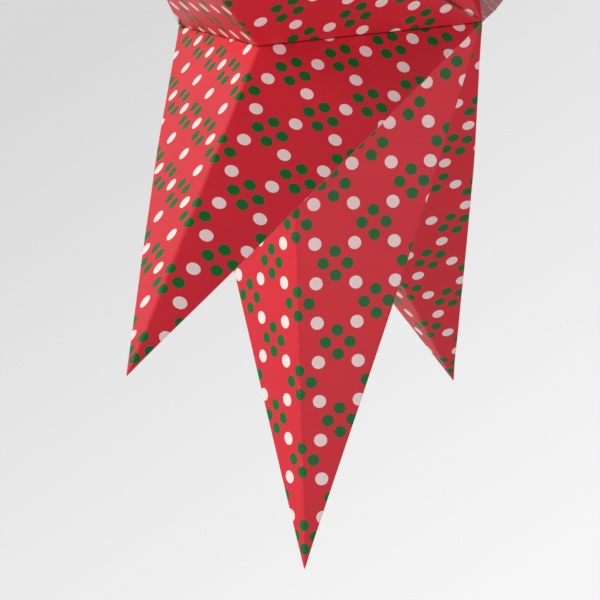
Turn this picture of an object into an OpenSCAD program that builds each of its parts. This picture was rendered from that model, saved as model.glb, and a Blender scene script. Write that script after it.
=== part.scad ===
// Hanging paper star with seven hollow points.
// Each point is one sheet of card, folded to four long panels round its tip and closed by a seam
// tab. Glue flaps along its notch edges lie face to face with those of the next point.
// The star's axis runs along Y through both centres. The origin is the top notch, where it hangs.

/* [Star] */
// Distance from the star's centre to the tip of a point
tip_r = 350; // [200:5:500]
// Distance from the star's centre to the notch between two points
notch_r = 112; // [80:1:150]
// Distance from the middle plane to the front centre and to the back centre
half_depth = 107; // [70:1:150]
// How far the lower points close up under the star's own weight, in degrees
settle_angle = 2.9; // [0:0.1:6]

/* [Sheet] */
// Thickness of the card
card = 0.4; // [0.3:0.1:1]
// Length trimmed off each fold at the front and back centres, beyond what the card's thickness takes
centre_trim = 0.5; // [0:0.1:8]

/* [Glue flaps] */
// Width of the flaps along the notch edges
flap_w = 9; // [5:0.5:15]
// Length of notch edge left free of flap at each end
flap_setback = 2; // [1.5:0.5:6]
// Angle left free between a flap's slanting end and the middle plane or the star's axis, in degrees
flap_end_angle = 6; // [3:1:12]
// Width of the tab that closes each sheet along its back ridge
tab_w = 10; // [5:0.5:15]
// Length of back ridge left free of tab at the tip
tab_tip_setback = 45; // [30:1:80]
// Length of back ridge left free of tab at the centre
tab_centre_setback = 20; // [15:1:40]

/* [Hanging] */
// Width across the corners of the square opening snipped through the top notch for a cord
cord_opening = 34; // [16:1:50]

/* [Hidden] */
POINTS = 7;
// Thicknesses of card that crowd out the end of a fold where the points meet at a centre
CROWD_RATIO = 4;
fold_trim = centre_trim + CROWD_RATIO * card;
// Slants of a flap's ends from its fold, so that flaps in one joint keep clear of each other
notch_slant = atan(half_depth / notch_r) - flap_end_angle;
centre_slant = atan(notch_r / half_depth) - flap_end_angle;

// Angle of a tip from straight down. Tip 0 hangs straight down and the others go both ways from it.
function tip_angle(k) = k * 360 / POINTS - settle_angle * sin(k * 360 / POINTS);

// Angle of the notch between tip k and tip k + 1, halfway between them
function notch_angle(k) = (tip_angle(k) + tip_angle(k + 1)) / 2;

// Place at a radius and an angle from straight down, in the middle plane
function around(radius, angle) = [-radius * sin(angle), 0, -radius * cos(angle)];

// A plane is its unit normal and its distance from the star's centre along it
function plane(normal, place) = let (n = normal / norm(normal)) [n, n * place];

// Plane through three places, with its normal turned away from a place on its inner side
function plane_through(a, b, c, inner) =
    let (n = cross(b - a, c - a), side = n * (a - inner) > 0 ? 1 : -1)
    plane(n * side, a);

// The same plane moved inwards
function inset(p, distance) = [p[0], p[1] - distance];

// Place where three planes meet
function meet(p, q, s) =
    (p[1] * cross(q[0], s[0]) + q[1] * cross(s[0], p[0]) + s[1] * cross(p[0], q[0]))
    / (p[0] * cross(q[0], s[0]));

function unit(v) = v / norm(v);

// Place at a distance from one place towards another
function towards(from, to, distance) = from + distance * unit(to - from);

// A fold corner: the place on the outer face of the card and the one behind it on the inner face
function fold_corner(outer, p, q, s) = [outer, meet(p, q, s)];

// Length that a snip takes off a notch edge, where half_width is half the opening's width
function snip_length(centre, notch, half_width) = half_width / abs(unit(centre - notch)[1]);

// Corners of one quarter of the sheet that no other quarter shares: where its notch edge ends at
// the centre, and the glue flap. other_centre and other_notch belong to the panels beside it.
function quarter_points(tip, centre, notch, other_centre, other_notch, inner, half_width) =
    let (
        panel = inset(plane_through(tip, centre, notch, inner), card),
        joint = plane_through(centre, other_centre, notch, inner),
        flap_back = inset(joint, card),
        behind = -card * joint[0],
        edge_end = towards(centre, notch, fold_trim),
        along = unit(centre - notch),
        square_on = cross(joint[0], along),
        inwards = square_on * sign(square_on * (other_centre - centre)),
        notch_start = notch + (snip_length(centre, notch, half_width) + flap_setback) * along,
        centre_start = edge_end - flap_setback * along,
        notch_corner = notch_start + flap_w * (along / tan(notch_slant) + inwards),
        centre_corner = centre_start - flap_w * (along / tan(centre_slant) - inwards),
        notch_cut = plane(cross(joint[0], notch_corner - notch_start), notch_corner),
        centre_cut = plane(cross(joint[0], centre_corner - centre_start), centre_corner)
    )
    concat(
        fold_corner(edge_end, panel, joint, trim_plane(tip, centre, notch, other_notch, inner)),
        [meet(panel, joint, centre_cut), centre_corner, notch_corner, meet(panel, joint, notch_cut)],
        [meet(panel, flap_back, centre_cut), centre_corner + behind, notch_corner + behind],
        [meet(panel, flap_back, notch_cut)]
    );

// Plane of the cut that trims the folds at a centre
function trim_plane(tip, centre, notch, other_notch, inner) =
    plane_through(
        towards(centre, tip, fold_trim), towards(centre, notch, fold_trim),
        towards(centre, other_notch, fold_trim), inner
    );

// Vertices come in this order: those that quarters share, each quarter's own, the seam tab's, then
// those where a snip across a notch meets the notch edges
SHARED_COUNT = 10;
OWN_COUNT = 10;
TAB = SHARED_COUNT + 4 * OWN_COUNT;
SNIP = TAB + 8;

// Faces of a quarter by vertex number, which half of the quarters take in reverse order. Each is a
// triangle or has no corner that turns inwards. c and n number its centre and its notch, seam lists
// the tab's corners along its centre fold, and snipped says whether the notch is cut open.
function quarter_faces(c, n, seam, snipped) =
    let (
        tip = 0, fold = 2 + 2 * c, notch = 6 + 2 * n, edge = SHARED_COUNT + OWN_COUNT * (2 * c + n),
        front = [for (i = [2:5]) edge + i], back = [for (i = [6:9]) edge + i],
        end = snipped ? SNIP + 2 * c : notch,
        tabbed = len(seam) > 0, tip_side = tabbed ? seam[2] : tip + 1,
        centre_side = tabbed ? seam[1] : tip + 1
    )
    [
        [tip, fold, edge, end, if (snipped) notch],
        if (snipped) [notch, end, end + 1, notch + 1],
        [edge, edge + 1, front[0]],
        [end, edge, front[0], front[3]],
        [end, front[3], end + 1],
        front,
        [back[0], back[1], front[1], front[0]],
        [back[1], back[2], front[2], front[1]],
        [back[2], back[3], front[3], front[2]],
        flipped(back),
        [end + 1, front[3], back[3]],
        [back[0], front[0], edge + 1],
        if (tabbed) [fold + 1, seam[0], seam[1]],
        if (tabbed) [seam[2], seam[3], tip + 1],
        if (tabbed) [tip + 1, notch + 1, tip_side],
        if (snipped) [tip_side, notch + 1, end + 1],
        [tip_side, end + 1, back[3]],
        if (tabbed) [tip_side, back[3], centre_side],
        [centre_side, back[3], back[0]],
        [centre_side, back[0], fold + 1],
        [back[0], edge + 1, fold + 1],
        [fold, fold + 1, edge + 1, edge]
    ];

function flipped(face) = [for (i = [len(face) - 1:-1:0]) face[i]];

// Corners of the tab that is hinged on one panel at the back and glued under the other: four where
// it meets the card it is glued to, then four on its own inner face
function tab_points(tip, back, glued, hinged, glued_notch) =
    let (
        ridge = unit(back - tip),
        edge_side = unit(cross(ridge, glued[0])),
        inwards = edge_side * sign(edge_side * (glued_notch - tip)),
        tip_cut = plane(ridge - inwards, tip + tab_tip_setback * ridge),
        centre_cut = plane(ridge + inwards, back - tab_centre_setback * ridge),
        free_edge = plane(inwards, tip + tab_w * inwards)
    )
    [
        for (side = [glued, inset(glued, card)])
            each [
                meet(side, hinged, tip_cut), meet(side, hinged, centre_cut),
                meet(side, free_edge, centre_cut), meet(side, free_edge, tip_cut)
            ]
    ];

TAB_FACES = [
    [TAB + 2, TAB + 1, TAB + 5, TAB + 6],
    [TAB + 3, TAB + 2, TAB + 6, TAB + 7],
    [TAB, TAB + 3, TAB + 7, TAB + 4],
    [TAB + 4, TAB + 7, TAB + 6, TAB + 5]
];
SEAMS = [[TAB + 1, TAB + 2, TAB + 3, TAB], [TAB + 1, TAB + 5, TAB + 4, TAB]];

// The folded sheet of one point, flaps and tab included, as one closed skin. The corners that
// quarters share are the tip, the trimmed folds at both centres and the two notches. half_widths
// has half the opening's width for a notch that is snipped, and 0 for one that isn't.
module folded_sheet(tip, centres, notches, half_widths) {
    inner = (tip + notches[0] + notches[1]) / 3;
    panels = [for (c = centres) [for (n = notches) inset(plane_through(tip, c, n, inner), card)]];
    joints = [for (n = notches) plane_through(centres[0], centres[1], n, inner)];
    shared = concat(
        fold_corner(tip, panels[0][0], panels[1][0], panels[0][1]),
        [
            for (c = [0, 1]) each fold_corner(
                towards(centres[c], tip, fold_trim), panels[c][0], panels[c][1],
                trim_plane(tip, centres[c], notches[0], notches[1], inner)
            )
        ],
        [
            for (n = [0, 1]) each fold_corner(
                towards(notches[n], tip, half_widths[n] / (unit(notches[n] - tip) * joints[n][0])),
                panels[0][n], panels[1][n], inset(joints[n], half_widths[n])
            )
        ]
    );
    quarters = [
        for (c = [0, 1], n = [0, 1])
            each quarter_points(
                tip, centres[c], notches[n], centres[1 - c], notches[1 - n], inner, half_widths[n]
            )
    ];
    tab = tab_points(tip, centres[1], panels[1][0], panels[1][1], notches[0]);
    snips = [
        for (n = [0, 1], c = [0, 1])
            let (end = towards(notches[n], centres[c], snip_length(centres[c], notches[n], half_widths[n])))
            if (half_widths[n] > 0)
                each fold_corner(end, panels[c][n], joints[n], plane([0, 1, 0], end))
    ];
    polyhedron(
        points = concat(shared, quarters, tab, snips),
        faces = [
            for (c = [0, 1], n = [0, 1])
                for (face = quarter_faces(c, n, c == 1 ? SEAMS[n] : [], half_widths[n] > 0))
                    c == n ? flipped(face) : face,
            each TAB_FACES
        ]
    );
}

// Point by its number, counted round from the top notch, in the frame of the whole star
module point(number) {
    last = (POINTS - 1) / 2;
    k = number - 1 - last;
    tip = around(tip_r, tip_angle(k));
    centres = [[0, -half_depth, 0], [0, half_depth, 0]];
    notches = [around(notch_r, notch_angle(k)), around(notch_r, notch_angle(k - 1))];
    half_widths = [k == last ? cord_opening / 2 : 0, k == -last ? cord_opening / 2 : 0];
    color("crimson") translate([0, 0, -notch_r]) folded_sheet(tip, centres, notches, half_widths);
}

for (i = [1:POINTS]) point(i);
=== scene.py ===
import math

import bmesh
import bpy
import numpy as np
from mathutils import Matrix, Vector


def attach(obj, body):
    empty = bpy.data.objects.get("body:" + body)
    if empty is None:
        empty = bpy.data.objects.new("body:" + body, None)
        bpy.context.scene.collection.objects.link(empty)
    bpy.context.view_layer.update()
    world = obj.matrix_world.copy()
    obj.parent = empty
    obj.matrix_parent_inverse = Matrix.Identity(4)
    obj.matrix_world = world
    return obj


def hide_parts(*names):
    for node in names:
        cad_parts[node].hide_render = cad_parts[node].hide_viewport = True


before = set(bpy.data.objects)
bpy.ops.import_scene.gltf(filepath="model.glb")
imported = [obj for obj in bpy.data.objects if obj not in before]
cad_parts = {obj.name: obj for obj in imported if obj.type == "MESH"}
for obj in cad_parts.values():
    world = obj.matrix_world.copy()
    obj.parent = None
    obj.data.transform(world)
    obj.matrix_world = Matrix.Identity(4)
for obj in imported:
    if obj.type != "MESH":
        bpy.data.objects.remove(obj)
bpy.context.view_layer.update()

# The star, in metres and degrees, as the part's source has it
POINTS = 7
TIP_R, NOTCH_R, HALF_DEPTH, SETTLE = 0.350, 0.112, 0.107, 2.9
CARD, CENTRE_TRIM, CROWD_RATIO = 0.0004, 0.0005, 4
FOLD_TRIM = CENTRE_TRIM + CROWD_RATIO * CARD
FLAP_W, FLAP_SETBACK, FLAP_END_ANGLE = 0.009, 0.002, 6.0
TAB_W, TAB_TIP_SETBACK, TAB_CENTRE_SETBACK = 0.010, 0.045, 0.020
CORD_OPENING = 0.034

# How folds and panels depart from the sharp shape
FOLD_W = 0.0017       # reach of a ridge's rounding on each side of the fold
HINGE_W = 0.0008      # the same for the folds of the flaps and the tab
TIP_START = 0.0014    # length of the ridge at which the blunt tip begins
BELLY = 0.0007        # how far a panel swells out in its middle
RIDGE_BOW = 0.0007    # how far a front or back ridge bows out halfway
RIPPLE = 0.00016      # unevenness of the card's surface
JOINT_GAP = 0.00002   # clearance between glued faces
MERGE = 0.000002      # vertices closer than this are one
FLAT_REST = 0.02      # distance given to places that lie far from every fold or hinge
FOLD_STEPS = 6        # steps across a fold's rounding
PANEL_STEP = 0.95     # about how many degrees at the tip one column of a panel takes
ROW_STEPS = 40        # rows along a panel, beyond those close to the tip
SAG_REACH = 0.15      # how far from a centre the sheets follow its shift
# Each centre in the sharp shape, and its shift to where the photo shows it
SAGS = [((0.0, -HALF_DEPTH, -NOTCH_R), (0.0, 0.0028, -0.0019)),
        ((0.0, HALF_DEPTH, -NOTCH_R), (0.0, -0.0017, -0.0030))]

# The print: its pitch, where it starts along the ridge from the tip, and its dots
PITCH, START = 0.0249, 0.0586
WHITE_R, GREEN_R, GREEN_OUT = 0.0041, 0.0038, 0.0076
# How far each sheet's print is shifted along and across the ridge, in pitches
REGISTRATION = {1: (0.36, 0.12), 2: (0.0, 0.0), 3: (0.0, 0.0), 4: (0.0, 0.0), 5: (0.0, 0.0),
                6: (0.02, 0.25), 7: (0.01, -0.18)}

CENTRE = np.array([0.0, 0.0, -NOTCH_R])
FRONT = CENTRE + [0.0, -HALF_DEPTH, 0.0]
BACK = CENTRE + [0.0, HALF_DEPTH, 0.0]


def sagged(place):
    """A place moved with the two centres, which sit a little in and down from the sharp shape."""
    moved = np.array(place, float)
    for centre, shift in SAGS:
        t = min(1.0, np.linalg.norm(place - np.array(centre)) / SAG_REACH)
        moved += (1 - t * t * (3 - 2 * t)) * np.array(shift)
    return moved


def unit(v):
    return v / np.linalg.norm(v)


def tip_angle(k):
    a = k * 2 * math.pi / POINTS
    return a - math.radians(SETTLE) * math.sin(a)


def notch_angle(k):
    return (tip_angle(k) + tip_angle(k + 1)) / 2


def around(radius, angle):
    return CENTRE + radius * np.array([-math.sin(angle), 0.0, -math.cos(angle)])


class Panel:
    """One of a sheet's four long panels, from its ridge to a notch to its ridge to a centre."""

    def __init__(self, tip, notch, centre, inner, joint, half_width):
        self.tip, self.notch, self.centre = tip, notch, centre
        self.to_notch, self.to_centre = unit(notch - tip), unit(centre - tip)
        self.angle = math.acos(float(self.to_notch @ self.to_centre))
        n = unit(np.cross(notch - tip, centre - tip))
        self.normal = n if n @ (tip - inner) > 0 else -n
        self.across = unit(self.to_centre - (self.to_centre @ self.to_notch) * self.to_notch)
        self.joint = joint
        along = unit(centre - notch)
        q = np.cross(joint, along)
        self.flap_dir = q if q @ (CENTRE - notch) > 0 else -q
        p = tip - notch
        self.into = unit(p - (p @ along) * along)
        self.along = along
        bis = self.into + self.flap_dir
        self.hinge_sin = np.linalg.norm(bis) / 2
        self.hinge_in = unit(bis)
        self.edge_length = np.linalg.norm(centre - notch)
        snip = half_width / abs(along[1])
        notch_slant = math.atan(HALF_DEPTH / NOTCH_R) - math.radians(FLAP_END_ANGLE)
        centre_slant = math.atan(NOTCH_R / HALF_DEPTH) - math.radians(FLAP_END_ANGLE)
        self.s1 = snip + FLAP_SETBACK
        self.c1 = self.s1 + FLAP_W / math.tan(notch_slant)
        self.s2 = self.edge_length - FOLD_TRIM - FLAP_SETBACK
        self.c2 = self.s2 - FLAP_W / math.tan(centre_slant)
        # Corners of the outer edge from the notch's ridge to the centre's, and those of the flap
        start = [notch]
        if half_width > 0:
            start = [notch - self.to_notch * half_width / (self.to_notch @ joint), notch + snip * along]
        corners = start + [notch + d * along for d in (self.s1, self.c1, self.c2, self.s2)]
        corners += [centre - FOLD_TRIM * along, centre - FOLD_TRIM * self.to_centre]
        self.edge = [self.flat(c) for c in corners]
        self.stops = [self.polar(c)[1] for c in self.edge]

    def flat(self, place):
        v = place - self.tip
        return np.array([v @ self.to_notch, v @ self.across])

    @staticmethod
    def polar(xy):
        return math.hypot(*xy), math.atan2(xy[1], xy[0])

    def place(self, xy):
        return self.tip + xy[0] * self.to_notch + xy[1] * self.across

    def reach(self, angle):
        """Distance from the tip to the sheet's outer edge at an angle from the notch's ridge."""
        d = np.array([math.cos(angle), math.sin(angle)])
        best = None
        for a, b in zip(self.edge, self.edge[1:]):
            e = b - a
            det = d[0] * -e[1] + d[1] * e[0]
            if abs(det) < 1e-12:
                continue
            r = (a[0] * -e[1] + a[1] * e[0]) / det
            t = (d[0] * a[1] - d[1] * a[0]) / det
            if -1e-6 <= t <= 1 + 1e-6 and r > 0:
                best = r if best is None else min(best, r)
        if best is None:
            end = self.edge[0] if angle < self.angle / 2 else self.edge[-1]
            best = math.hypot(*end)
        return best

    def flap_depth(self, place):
        """Depth of the glue flap at a place on the outer edge."""
        x = (place - self.notch) @ self.along
        off = np.linalg.norm(place - self.notch - x * self.along)
        if off > 1e-5:
            return 0.0
        return float(np.interp(x, [self.s1, self.c1, self.c2, self.s2], [0, FLAP_W, FLAP_W, 0], 0, 0))


# Places across a fold's rounding, from one side of it to the other
FOLD_ZONE = [i / FOLD_STEPS * 2 - 1 for i in range(FOLD_STEPS + 1)]


def ripple(p, seed):
    """Slow unevenness of the card, between about -1 and 1."""
    x, y, z = p * 1000
    s = seed * 1.7
    return (math.sin(x / 23 + y / 41 + s) * math.cos(z / 29 - y / 37 + 2.1 * s)
            + 0.6 * math.sin(x / 13 - z / 17 + 3.3 * s) * math.sin(y / 15 + z / 21 + s)) / 1.6


def sheet_skin(k, seed):
    """Outer face of one folded sheet.

    Gives its places, their places in the flat print, their distances from the nearest ridge and
    from the nearest hinge of a flap, and the faces.
    """
    tip = around(TIP_R, tip_angle(k))
    notches = [around(NOTCH_R, notch_angle(k)), around(NOTCH_R, notch_angle(k - 1))]
    inner = (tip + notches[0] + notches[1]) / 3
    last = (POINTS - 1) // 2
    halves = [CORD_OPENING / 2 if k == last else 0, CORD_OPENING / 2 if k == -last else 0]
    joints = []
    for n in notches:
        j = unit(np.cross(BACK - FRONT, n - FRONT))
        joints.append(j if j @ (FRONT - inner) > 0 else -j)
    order = [(BACK, 0), (FRONT, 0), (FRONT, 1), (BACK, 1)]
    panels = [Panel(tip, notches[n], c, inner, joints[n], halves[n]) for c, n in order]
    # Angles in the flat sheet from the seam at the back ridge, panel by panel
    starts = [0.0]
    for p in panels:
        starts.append(starts[-1] + p.angle)
    zero = panels[0].angle  # the print is square to the first notch's ridge

    def find(theta):
        i = max(0, min(3, int(np.searchsorted(starts, theta, side="right")) - 1))
        local = theta - starts[i]
        return i, (panels[i].angle - local if i in (0, 2) else local)

    # Columns: in each panel the corners of the outer edge and stops between them, in each fold a zone
    columns = []
    for i, p in enumerate(panels):
        radius = [p.reach(1e-9), p.reach(p.angle - 1e-9)]
        lo, hi = FOLD_W / radius[0], p.angle - FOLD_W / radius[1]
        stops = sorted(s for s in p.stops if lo * 1.25 < s < p.angle - (p.angle - hi) * 1.25)
        filled = []
        fence = [lo] + stops + [hi]
        for a, b in zip(fence, fence[1:]):
            n = max(1, round((b - a) / math.radians(PANEL_STEP)))
            filled += [a + (b - a) * j / n for j in range(n)]
        filled = filled[1:]
        shares = [(s - lo) / (hi - lo) for s in filled]
        if i in (0, 2):
            shares = [1 - s for s in reversed(shares)]
        columns += [("panel", i, s) for s in shares]
        if i < 3:
            columns += [("fold", i, z) for z in FOLD_ZONE]
    columns = [("seam", 0, 0.0)] + columns + [("seam", 3, 1.0)]

    def fold_width(r):
        return min(FOLD_W, 0.075 * r)

    seam_panel = panels[0]
    beside = panels[3]
    ridge = beside.to_centre
    p4 = unit(-(beside.to_notch @ ridge) * ridge + beside.to_notch)
    lap = -CARD / (p4 @ seam_panel.normal)
    tab_dir = unit(seam_panel.to_notch - (seam_panel.to_notch @ ridge) * ridge)

    def theta_of(column, r):
        kind, i, s = column
        w = fold_width(r) / r
        if kind == "fold":
            return starts[i + 1] + s * w
        if kind == "seam":
            return 0.0 if i == 0 else starts[4] - min(lap, 0.1 * r) / r
        lo = starts[i] + (w if i else 0.2 * w)
        hi = starts[i + 1] - (w if i < 3 else min(lap, 0.1 * r) / r + 0.2 * w)
        return lo + (hi - lo) * s

    bis, sines = {}, {}
    for i in range(3):
        a, b = panels[i], panels[i + 1]
        line = a.to_notch if i in (0, 2) else a.to_centre
        other = [p.to_centre if i in (0, 2) else p.to_notch for p in (a, b)]
        v = sum(unit(o - (o @ line) * line) for o in other)
        bis[i], sines[i] = unit(v), np.linalg.norm(v) / 2

    def bow_at(theta, share):
        """Outward bow of the front and back ridges, spread over the panels beside them."""
        i, a = find(theta)
        p = panels[i]
        out = unit(p.centre - CENTRE)
        return out * RIDGE_BOW * math.sin(math.pi * share ** 0.9) * (a / p.angle) ** 1.5

    def surface(theta, r, share):
        i, a = find(theta)
        p = panels[i]
        xy = np.array([r * math.cos(a), r * math.sin(a)])
        q = p.place(xy)
        w = fold_width(r)
        crease = FLAT_REST
        for j in range(3):
            d = abs(theta - starts[j + 1]) * r
            crease = min(crease, d)
            if d < w:
                q = q + bis[j] * sines[j] * (w - d) ** 2 / (2 * w)
        crease = min(crease, theta * r, (starts[4] - theta) * r)
        t = a / p.angle
        fade = math.sin(math.pi * min(1.0, share)) ** 0.8
        q = q + p.normal * BELLY * fade * math.sin(math.pi * t) * min(1.0, r / 0.12)
        q = q + bow_at(theta, share)
        edge_fade = min(1.0, (1 - share) * 9) * min(1.0, r / 0.03)
        q = q + p.normal * RIPPLE * ripple(q, seed) * edge_fade
        return q, crease

    def print_at(theta, r):
        return np.array([r * math.cos(theta - zero), r * math.sin(theta - zero)])

    places, prints, creases, hinges = [], [], [], []

    def add(q, uv, crease, hinge):
        places.append(sagged(q)), prints.append(uv), creases.append(crease), hinges.append(hinge)
        return len(places) - 1

    mean_reach = float(np.mean([p.reach(p.angle / 2) for p in panels]))
    # Rows run from the tip to the outer edge, round the hinge of the flaps and out to their ends
    near_tip = [
        TIP_START, 0.0022, 0.0032, 0.0046, 0.006, 0.008, 0.0105, 0.0135, 0.0175, 0.0225, 0.0285, 0.0355
    ]
    rows = [r / mean_reach for r in near_tip]
    rows += list(np.linspace(rows[-1], 1 - 0.011, ROW_STEPS)[1:])
    edge_rows = [("hinge", h) for h in (1.0, 0.72, 0.46, 0.22, 0.0)]
    edge_rows += [("flap", d) for d in (0.25, 0.5, 0.75, 1.0)]
    edge_rows += [("end", 0.5), ("end", 1.0)]
    tab_line = [0.0, 0.3, 0.6, 1.0]
    grid = []
    for row in rows + edge_rows:
        line = []
        for column in columns:
            theta = theta_of(column, mean_reach)
            for _ in range(3):
                i, a = find(theta)
                limit = panels[i].reach(a)
                r_here = limit * (row if isinstance(row, float) else 1.0)
                theta = theta_of(column, r_here)
            i, a = find(theta)
            p = panels[i]
            limit = p.reach(a)
            base = p.place(np.array([limit * math.cos(a), limit * math.sin(a)]))
            depth = p.flap_depth(base)
            strength = min(1.0, depth / HINGE_W)
            if isinstance(row, float):
                q, crease = surface(theta, limit * row, row)
                hinge = min(FLAT_REST, limit * (1 - row) * 0.7)
                line.append(add(q, print_at(theta, limit * row), crease, hinge))
                continue
            kind, amount = row
            ray = unit(base - tip)
            slope = max(0.3, abs(ray @ p.into))
            if kind == "hinge":
                e = HINGE_W * amount
                r = limit - e / slope
                q, crease = surface(theta, r, r / limit)
                q = q + p.hinge_in * p.hinge_sin * (HINGE_W - e) ** 2 / (2 * HINGE_W) * strength
                line.append(add(q, print_at(theta, r), crease, e))
                continue
            q0, _ = surface(theta, limit, 1.0)
            uv0 = print_at(theta, limit)
            a2, b2 = p.flat(p.notch), p.flat(p.centre)
            out = np.array([(b2 - a2)[1], -(b2 - a2)[0]])
            out = out / np.linalg.norm(out)
            if out @ a2 < 0:
                out = -out
            # The same direction in the print, whose first axis is the first notch's ridge
            mirrored = -1 if i in (0, 2) else 1
            turn = 0.0 if i < 2 else starts[3] - zero
            out = np.array([out[0], out[1] * mirrored])
            c, s = math.cos(turn), math.sin(turn)
            out = np.array([c * out[0] - s * out[1], s * out[0] + c * out[1]])
            if kind == "flap":
                d = min(depth, HINGE_W * amount)
            else:
                d = min(depth, HINGE_W) + max(0.0, depth - HINGE_W) * amount
            q = q0 + p.flap_dir * d - p.joint * JOINT_GAP * min(1.0, d / HINGE_W)
            if d < HINGE_W:
                q = q + p.hinge_in * p.hinge_sin * (HINGE_W - d) ** 2 / (2 * HINGE_W) * strength
            line.append(add(q, uv0 + out * d, FLAT_REST, d))
        grid.append(line)

    faces = []
    for a, b in zip(grid, grid[1:]):
        for j in range(len(columns) - 1):
            faces.append([a[j], a[j + 1], b[j + 1], b[j]])
    # The blunt tip
    apex_out = unit(tip - CENTRE)
    apex = add(tip - apex_out * (TIP_START * 0.5), np.zeros(2), 0.0, FLAT_REST)
    for j in range(len(columns) - 1):
        faces.append([apex, grid[0][j + 1], grid[0][j]])
    faces.append([apex, grid[0][0], grid[0][-1]])
    # The seam tab goes on from the last column, under the first panel
    ridge_length = np.linalg.norm(beside.centre - tip)
    tab_grid = []
    for row_index, line in enumerate(grid[: len(rows)]):
        edge = line[-1]
        r = float(np.linalg.norm(places[edge] - tip))
        depth = float(np.interp(
            r,
            [TAB_TIP_SETBACK, TAB_TIP_SETBACK + TAB_W, ridge_length - TAB_CENTRE_SETBACK - TAB_W,
             ridge_length - TAB_CENTRE_SETBACK],
            [0, TAB_W, TAB_W, 0], 0, 0))
        out = []
        for share in tab_line[1:]:
            d = depth * share
            q = places[edge] + tab_dir * d - seam_panel.normal * JOINT_GAP * (1 if d > 0 else 0)
            theta = starts[4] + d / r
            out.append(add(q, print_at(theta, r), min(FLAT_REST, d), FLAT_REST))
        tab_grid.append([edge] + out)
    for a, b in zip(tab_grid, tab_grid[1:]):
        for j in range(len(tab_line) - 1):
            faces.append([a[j], a[j + 1], b[j + 1], b[j]])
    return np.array(places), np.array(prints), np.array(creases), np.array(hinges), faces


def sheet_piece(number):
    k = number - 1 - (POINTS - 1) // 2
    places, prints, creases, hinges, faces = sheet_skin(k, number)
    mesh = bpy.data.meshes.new(f"sheet_{number}")
    mesh.from_pydata([tuple(p) for p in places], [], faces)
    layer = mesh.uv_layers.new(name="print")
    offset = REGISTRATION[number]
    uv = (prints - [START, 0.0]) / PITCH - offset
    loops = np.zeros(len(mesh.loops), int)
    mesh.loops.foreach_get("vertex_index", loops)
    layer.data.foreach_set("uv", uv[loops].astype(np.float32).ravel())
    for name, distances in (("fold", creases), ("hinge", hinges)):
        layer = mesh.attributes.new(name, "FLOAT", "POINT")
        layer.data.foreach_set("value", (distances * 1000).astype(np.float32))
    mesh.update()
    bm = bmesh.new()
    bm.from_mesh(mesh)
    bmesh.ops.remove_doubles(bm, verts=bm.verts, dist=MERGE)
    bmesh.ops.dissolve_degenerate(bm, edges=bm.edges, dist=1e-7)
    bm.to_mesh(mesh)
    bm.free()
    for m in MATERIALS:
        mesh.materials.append(m)
    obj = bpy.data.objects.new(f"sheet_{number}", mesh)
    bpy.context.scene.collection.objects.link(obj)
    # Turn all faces outwards, away from the middle of the point
    tip = around(TIP_R, tip_angle(k))
    middle = (tip + around(NOTCH_R, notch_angle(k)) + around(NOTCH_R, notch_angle(k - 1))) / 3
    poly = mesh.polygons[len(mesh.polygons) // 3]
    if poly.normal.dot(poly.center - Vector(middle)) < 0:
        mesh.flip_normals()
    solid = obj.modifiers.new("card", "SOLIDIFY")
    solid.thickness = CARD
    solid.offset = -1
    solid.use_even_offset = False
    solid.use_quality_normals = True
    solid.material_offset = 1
    solid.material_offset_rim = 2
    done = bpy.data.meshes.new_from_object(obj.evaluated_get(bpy.context.evaluated_depsgraph_get()))
    obj.modifiers.clear()
    obj.data = done
    bpy.data.meshes.remove(mesh)
    done.name = obj.name
    done.polygons.foreach_set("use_smooth", [True] * len(done.polygons))
    done.set_sharp_from_angle(angle=math.radians(38))
    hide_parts(f"point_{number}")
    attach(obj, "root")


# Materials

def linear(r, g, b):
    shares = [c / 255 for c in (r, g, b)]
    return tuple(c / 12.92 if c <= 0.04045 else ((c + 0.055) / 1.055) ** 2.4 for c in shares) + (1.0,)


class Graph:
    """Short hand for building a material's nodes."""

    def __init__(self, name):
        self.material = bpy.data.materials.new(name)
        self.material.use_nodes = True
        self.tree = self.material.node_tree
        self.shader = self.tree.nodes["Principled BSDF"]

    def node(self, kind, **settings):
        n = self.tree.nodes.new(kind)
        for key, value in settings.items():
            setattr(n, key, value)
        return n

    def put(self, socket, value):
        if isinstance(value, bpy.types.NodeSocket):
            self.tree.links.new(value, socket)
        else:
            socket.default_value = value

    def math(self, operation, a, b=0.0, c=0.0, clamp=False):
        n = self.node("ShaderNodeMath", operation=operation, use_clamp=clamp)
        for socket, value in zip(n.inputs, (a, b, c)):
            self.put(socket, value)
        return n.outputs[0]

    def ramp(self, value, low, high, to_low=0.0, to_high=1.0):
        n = self.node("ShaderNodeMapRange", interpolation_type="SMOOTHSTEP")
        keys = ("Value", "From Min", "From Max", "To Min", "To Max")
        for key, v in zip(keys, (value, low, high, to_low, to_high)):
            self.put(n.inputs[key], v)
        return n.outputs["Result"]

    def mix(self, factor, a, b, blend="MIX"):
        n = self.node("ShaderNodeMix", data_type="RGBA", blend_type=blend)
        self.put(n.inputs["Factor"], factor)
        self.put(n.inputs[6], a)
        self.put(n.inputs[7], b)
        return n.outputs[2]

    def noise(self, vector, scale, detail=3.0, roughness=0.55):
        n = self.node("ShaderNodeTexNoise")
        self.put(n.inputs["Vector"], vector)
        n.inputs["Scale"].default_value = scale
        n.inputs["Detail"].default_value = detail
        n.inputs["Roughness"].default_value = roughness
        return n

    def scaled(self, vector, x, y, z):
        n = self.node("ShaderNodeVectorMath", operation="MULTIPLY")
        self.put(n.inputs[0], vector)
        n.inputs[1].default_value = (x, y, z)
        return n.outputs[0]

    def bump(self, height, strength, distance, normal=None):
        n = self.node("ShaderNodeBump")
        n.inputs["Strength"].default_value = strength
        n.inputs["Distance"].default_value = distance
        self.put(n.inputs["Height"], height)
        if normal is not None:
            self.put(n.inputs["Normal"], normal)
        return n.outputs["Normal"]


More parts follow.
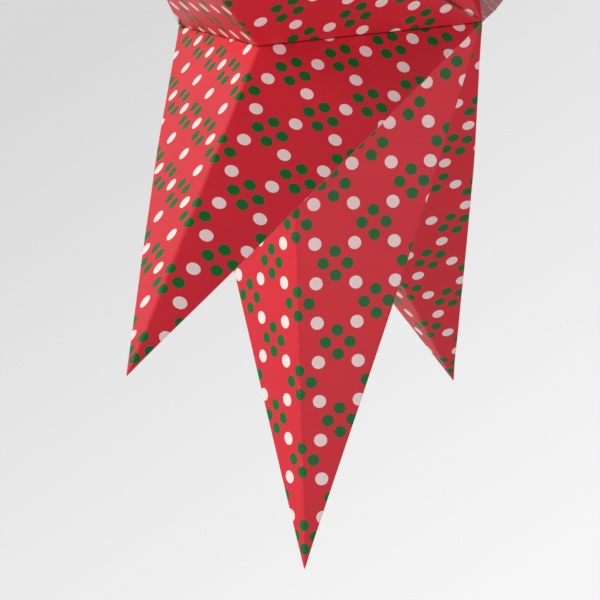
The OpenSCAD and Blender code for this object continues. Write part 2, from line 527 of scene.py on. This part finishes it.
RED = linear(217, 46, 61)
GREEN = linear(4, 104, 46)
PAPER = linear(246, 238, 236)
# Painted shade: the dark red mixed into the card's colour along the hinge grooves between the sheets
PAINTED_GROOVE_SHADE = linear(70, 10, 18)


def card_grain(g, uv, place):
    """Fibres and tooth of the card: (fine grain, slow mottling, height for a bump)."""
    fine = g.noise(g.scaled(uv, 62, 62, 62), 1.0, 4.0, 0.6).outputs["Fac"]
    fibres = g.noise(g.scaled(uv, 16, 78, 30), 1.0, 3.0, 0.65).outputs["Fac"]
    crossing = g.noise(g.scaled(uv, 70, 20, 30), 1.0, 3.0, 0.65).outputs["Fac"]
    slow = g.noise(place, 21.0, 4.0, 0.5).outputs["Fac"]
    height = g.math("ADD", g.math("MULTIPLY", fibres, 0.5), g.math("MULTIPLY", crossing, 0.5))
    height = g.math("ADD", g.math("MULTIPLY", height, 0.55), g.math("MULTIPLY", fine, 0.45))
    return fine, slow, height


def printed_card():
    g = Graph("printed_card")
    uv = g.node("ShaderNodeUVMap", uv_map="print").outputs["UV"]
    place = g.node("ShaderNodeTexCoord").outputs["Object"]
    fine, slow, height = card_grain(g, uv, place)
    # Ink edges wander a little
    wander = g.noise(uv, 26.0, 2.0).outputs["Color"]
    shift = g.node("ShaderNodeVectorMath", operation="MULTIPLY_ADD")
    g.put(shift.inputs[0], wander)
    shift.inputs[1].default_value = (0.012, 0.012, 0.0)
    shift.inputs[2].default_value = (-0.006, -0.006, 0.0)
    moved = g.node("ShaderNodeVectorMath", operation="ADD")
    g.put(moved.inputs[0], uv)
    g.put(moved.inputs[1], shift.outputs[0])
    parts = g.node("ShaderNodeSeparateXYZ")
    g.put(parts.inputs[0], moved.outputs[0])
    x, y = parts.outputs[0], parts.outputs[1]
    # White dots sit at whole numbers along the ridge and at halves across it
    dx = g.math("SUBTRACT", x, g.math("ROUND", x))
    half_y = g.math("SUBTRACT", y, 0.5)
    dy = g.math("SUBTRACT", half_y, g.math("ROUND", half_y))
    away = g.math("SQRT", g.math("ADD", g.math("MULTIPLY", dx, dx), g.math("MULTIPLY", dy, dy)))
    soft = 0.006
    white = g.ramp(away, WHITE_R / PITCH - soft, WHITE_R / PITCH + soft, 1.0, 0.0)
    # Four green dots stand round the middle of every second cell
    half_x = g.math("SUBTRACT", x, 0.5)
    cell_x, cell_y = g.math("ROUND", half_x), g.math("ROUND", y)
    ex = g.math("ABSOLUTE", g.math("SUBTRACT", half_x, cell_x))
    ey = g.math("ABSOLUTE", g.math("SUBTRACT", y, cell_y))
    far, near = g.math("MAXIMUM", ex, ey), g.math("MINIMUM", ex, ey)
    off = g.math("SUBTRACT", far, GREEN_OUT / PITCH)
    away = g.math("SQRT", g.math("ADD", g.math("MULTIPLY", off, off), g.math("MULTIPLY", near, near)))
    dot = g.ramp(away, GREEN_R / PITCH - soft, GREEN_R / PITCH + soft, 1.0, 0.0)
    odd = g.math("FLOORED_MODULO", g.math("ADD", cell_x, cell_y), 2.0)
    green = g.math("MULTIPLY", dot, g.math("LESS_THAN", odd, 0.5))
    colour = g.mix(green, g.mix(white, RED, PAPER), GREEN)
    # Grain, mottling, worn folds, and painted shade along the hinge grooves
    shade = g.math("ADD", g.ramp(fine, 0.3, 0.7, 0.95, 1.04), g.ramp(slow, 0.3, 0.7, -0.025, 0.025))
    tint = g.node("ShaderNodeCombineColor")
    for i in range(3):
        g.put(tint.inputs[i], shade)
    colour = g.mix(1.0, colour, tint.outputs[0], "MULTIPLY")
    fold = g.node("ShaderNodeAttribute", attribute_name="fold").outputs["Fac"]
    close = g.ramp(fold, 0.1, 1.3, 1.0, 0.0)
    rub = g.ramp(g.noise(place, 260.0, 3.0, 0.7).outputs["Fac"], 0.5, 0.8)
    worn = g.math("MULTIPLY", close, g.math("ADD", g.math("MULTIPLY", rub, 0.14), 0.012))
    colour = g.mix(worn, colour, PAPER)
    # Painted shade: the colour is darkened towards the hinges of the flaps, in the grooves between the
    # sheets
    hinge = g.node("ShaderNodeAttribute", attribute_name="hinge").outputs["Fac"]
    colour = g.mix(g.ramp(hinge, 0.1, 0.9, 0.55, 0.0), colour, PAINTED_GROOVE_SHADE)
    g.put(g.shader.inputs["Base Color"], colour)
    rough = g.math("ADD", g.ramp(fine, 0.3, 0.7, 0.42, 0.54), g.math("MULTIPLY", white, 0.06))
    g.put(g.shader.inputs["Roughness"], g.math("ADD", rough, g.math("MULTIPLY", close, 0.08)))
    g.shader.inputs["Specular IOR Level"].default_value = 0.2
    g.put(g.shader.inputs["Normal"], g.bump(height, 0.22, 0.0002))
    return g.material


def plain_card(name, colour, strength):
    g = Graph(name)
    uv = g.node("ShaderNodeUVMap", uv_map="print").outputs["UV"]
    place = g.node("ShaderNodeTexCoord").outputs["Object"]
    fine, slow, height = card_grain(g, uv, place)
    shade = g.math("ADD", g.ramp(fine, 0.3, 0.7, 0.95, 1.03), g.ramp(slow, 0.3, 0.7, -0.03, 0.03))
    tint = g.node("ShaderNodeCombineColor")
    for i in range(3):
        g.put(tint.inputs[i], shade)
    g.put(g.shader.inputs["Base Color"], g.mix(1.0, colour, tint.outputs[0], "MULTIPLY"))
    g.put(g.shader.inputs["Roughness"], g.ramp(fine, 0.3, 0.7, 0.72, 0.86))
    g.shader.inputs["Specular IOR Level"].default_value = 0.3
    g.put(g.shader.inputs["Normal"], g.bump(height, strength, 0.0002))
    return g.material


# The solidify modifier puts these on the outer face, the inner face and the cut edges
MATERIALS = [
    printed_card(),
    plain_card("card_inside", linear(236, 228, 218), 0.3),
    plain_card("card_edge", linear(238, 214, 206), 0.4),
]
for number in range(1, POINTS + 1):
    sheet_piece(number)

# Camera, where the photo was taken from
CAMERA_PLACE = (-1.60067, -0.66695, -0.31842)
FOCAL_PIXELS = 2731.6  # focal length in pixels of the 600-pixel image
AZIMUTH, ELEVATION, ROLL = math.radians(-67.03696), math.radians(-0.90809), math.radians(-2.5243)
look = Vector((
    -math.sin(AZIMUTH) * math.cos(ELEVATION),
    math.cos(AZIMUTH) * math.cos(ELEVATION),
    -math.sin(ELEVATION),
))
level = Vector((math.cos(AZIMUTH), math.sin(AZIMUTH), 0.0))
down = look.cross(level)
right = math.cos(ROLL) * level + math.sin(ROLL) * down
down = -math.sin(ROLL) * level + math.cos(ROLL) * down
lens = bpy.data.cameras.new("camera")
lens.sensor_width = 36.0
lens.lens = FOCAL_PIXELS / 600 * lens.sensor_width
lens.clip_start, lens.clip_end = 0.1, 50.0
camera = bpy.data.objects.new("camera", lens)
bpy.context.scene.collection.objects.link(camera)
turn = Matrix((right, -down, -look)).transposed().to_4x4()
camera.matrix_world = Matrix.Translation(CAMERA_PLACE) @ turn
bpy.context.scene.camera = camera


# Light

def area(name, place, size, power, colour):
    """A round lamp at a place given from the middle of the star, turned towards it."""
    data = bpy.data.lights.new(name, "AREA")
    data.shape = "DISK"
    data.size = size
    data.energy = power
    data.color = colour
    o = bpy.data.objects.new(name, data)
    bpy.context.scene.collection.objects.link(o)
    middle = Vector((0.0, 0.0, -0.16))
    o.location = middle + Vector(place)
    o.rotation_mode = "QUATERNION"
    o.rotation_quaternion = Vector(place).to_track_quat("Z", "Y")


area("key", (-1.5, 2.1, 0.95), 1.5, 62.0, (1.0, 0.98, 0.91))
area("fill", (-1.9, -1.6, -0.75), 1.8, 36.0, (1.0, 0.82, 0.86))

world = bpy.data.worlds.new("world")
bpy.context.scene.world = world
world.use_nodes = True
tree = world.node_tree
tree.nodes.clear()
out = tree.nodes.new("ShaderNodeOutputWorld")
soft = tree.nodes.new("ShaderNodeBackground")
soft.inputs["Color"].default_value = (1.0, 0.94, 0.94, 1.0)
soft.inputs["Strength"].default_value = 0.2
seen = tree.nodes.new("ShaderNodeBackground")
seen.inputs["Strength"].default_value = 1.0
coords = tree.nodes.new("ShaderNodeTexCoord")
dot = tree.nodes.new("ShaderNodeVectorMath")
dot.operation = "DOT_PRODUCT"
dot.inputs[1].default_value = tuple(right * 0.55 + down * 0.84)
tree.links.new(coords.outputs["Generated"], dot.inputs[0])
slope = tree.nodes.new("ShaderNodeMapRange")
slope.inputs["From Min"].default_value = -0.13
slope.inputs["From Max"].default_value = 0.13
slope.inputs["To Min"].default_value = 0.0
slope.inputs["To Max"].default_value = 1.0
tree.links.new(dot.outputs["Value"], slope.inputs["Value"])
# Painted shade on the backdrop: the colour seen by the camera is darker towards the upper left of the
# view and lighter towards the lower right
shade = tree.nodes.new("ShaderNodeMix")
shade.data_type = "RGBA"
shade.inputs[6].default_value = linear(216, 216, 217)
shade.inputs[7].default_value = linear(246, 246, 246)
tree.links.new(slope.outputs["Result"], shade.inputs["Factor"])
tree.links.new(shade.outputs[2], seen.inputs["Color"])
path = tree.nodes.new("ShaderNodeLightPath")
total = path.outputs["Is Camera Ray"]
for ray in ("Is Glossy Ray", "Is Transmission Ray"):
    rays = tree.nodes.new("ShaderNodeMath")
    rays.operation = "ADD"
    rays.use_clamp = True
    tree.links.new(total, rays.inputs[0])
    tree.links.new(path.outputs[ray], rays.inputs[1])
    total = rays.outputs[0]
both = tree.nodes.new("ShaderNodeMixShader")
tree.links.new(total, both.inputs[0])
tree.links.new(soft.outputs[0], both.inputs[1])
tree.links.new(seen.outputs[0], both.inputs[2])
tree.links.new(both.outputs[0], out.inputs[0])

# Floor below the star, fading out towards its rim
FLOOR_Z, FLOOR_RADIUS, FLOOR_SIDES = -0.80, 2.1, 64
disc = bpy.data.meshes.new("floor")
verts = [(0.0, 0.0, FLOOR_Z)]
for i in range(FLOOR_SIDES):
    a = 2 * math.pi * i / FLOOR_SIDES
    verts.append((FLOOR_RADIUS * math.cos(a), FLOOR_RADIUS * math.sin(a), FLOOR_Z))
disc.from_pydata(verts, [], [(0, 1 + i, 1 + (i + 1) % FLOOR_SIDES) for i in range(FLOOR_SIDES)])
floor = bpy.data.objects.new("floor", disc)
bpy.context.scene.collection.objects.link(floor)
g = Graph("floor")
g.put(g.shader.inputs["Base Color"], linear(232, 232, 232))
g.shader.inputs["Roughness"].default_value = 0.9
place = g.node("ShaderNodeTexCoord").outputs["Object"]
flat = g.scaled(place, 1.0, 1.0, 0.0)
length = g.node("ShaderNodeVectorMath", operation="LENGTH")
g.put(length.inputs[0], flat)
g.put(g.shader.inputs["Alpha"], g.ramp(length.outputs["Value"], 0.7, 2.0, 1.0, 0.0))
rays = g.node("ShaderNodeLightPath")
looks = g.math("ADD", rays.outputs["Is Camera Ray"], rays.outputs["Is Transmission Ray"])
looks = g.math("ADD", looks, rays.outputs["Is Glossy Ray"], clamp=True)
g.put(g.shader.inputs["Emission Color"], linear(250, 250, 250))
g.put(g.shader.inputs["Emission Strength"], g.math("MULTIPLY", looks, 0.5))
disc.materials.append(g.material)

bpy.context.scene.view_settings.view_transform = "Standard"
